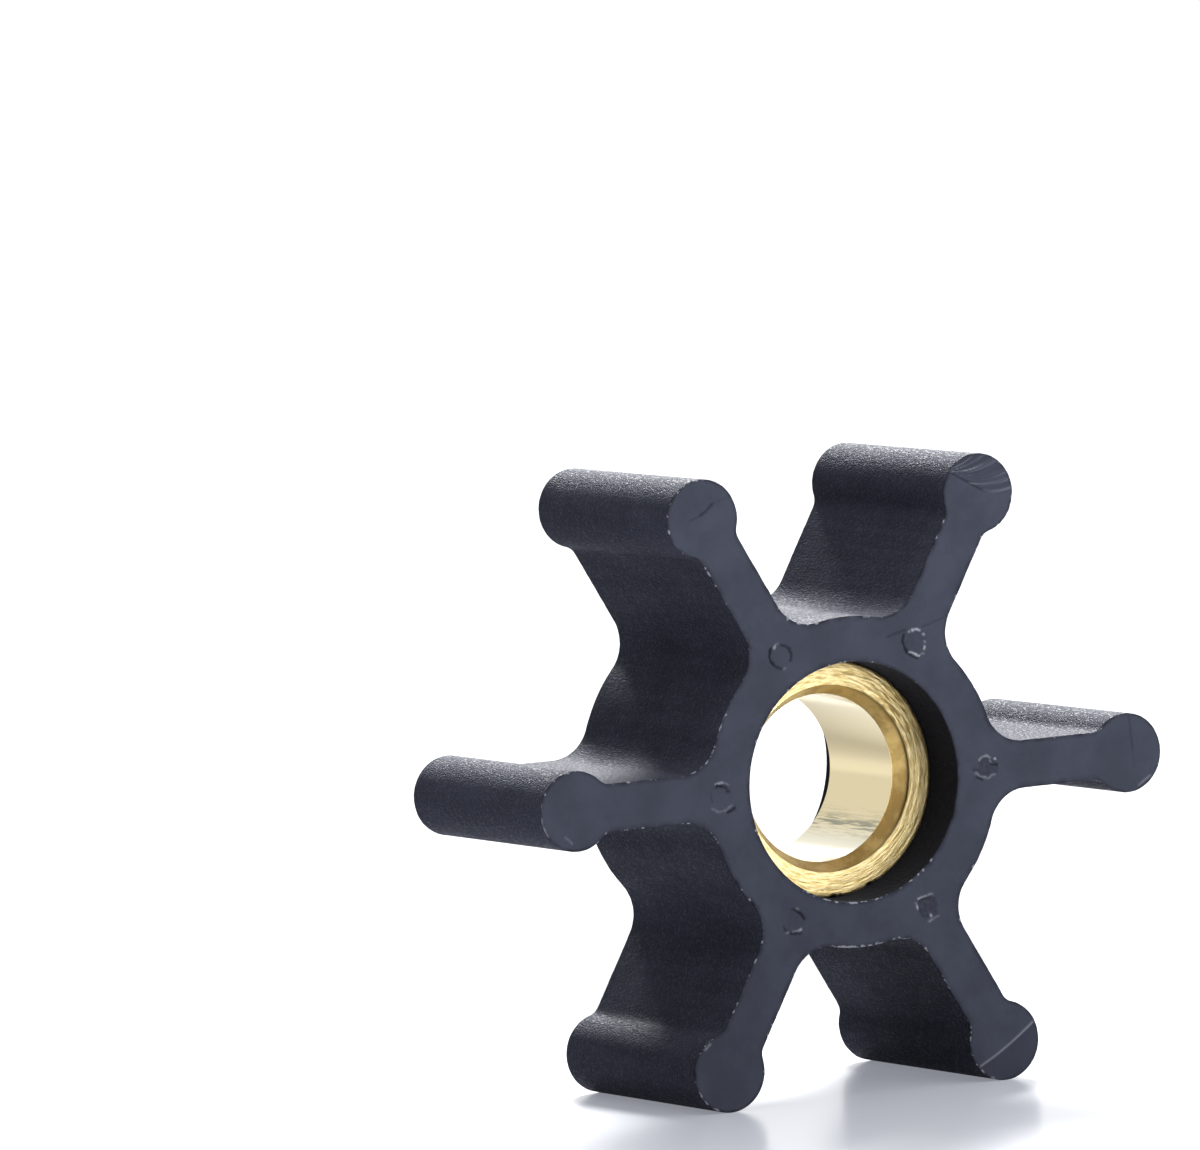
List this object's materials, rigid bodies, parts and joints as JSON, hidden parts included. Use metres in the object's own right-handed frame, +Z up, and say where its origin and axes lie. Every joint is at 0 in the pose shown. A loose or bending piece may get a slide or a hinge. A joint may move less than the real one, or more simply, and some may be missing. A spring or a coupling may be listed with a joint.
{
  "type": "rubber pump impeller",
  "caption": "Moulded rubber impeller with bulb-tipped radial vanes round a hub, bonded to a brass sleeve whose chamfered round bore takes the pump shaft.",
  "frame": {"origin": "on the shaft axis, midway between the two rubber faces", "axes": "Y runs along the shaft axis with the marked front face towards -Y, Z is up with two vane tips on the ground, X is to the right seen from the front"},
  "size_m": [0.051, 0.0186, 0.045],
  "materials": {
    "rubber": "dark blue-grey moulded rubber, matt and finely grained",
    "brass": "turned brass, coarse on the end faces and bright in the bore"
  },
  "bodies": {
    "root": {"rubber_body": "rubber", "brass_insert": "brass"}
  },
  "joints": []
}
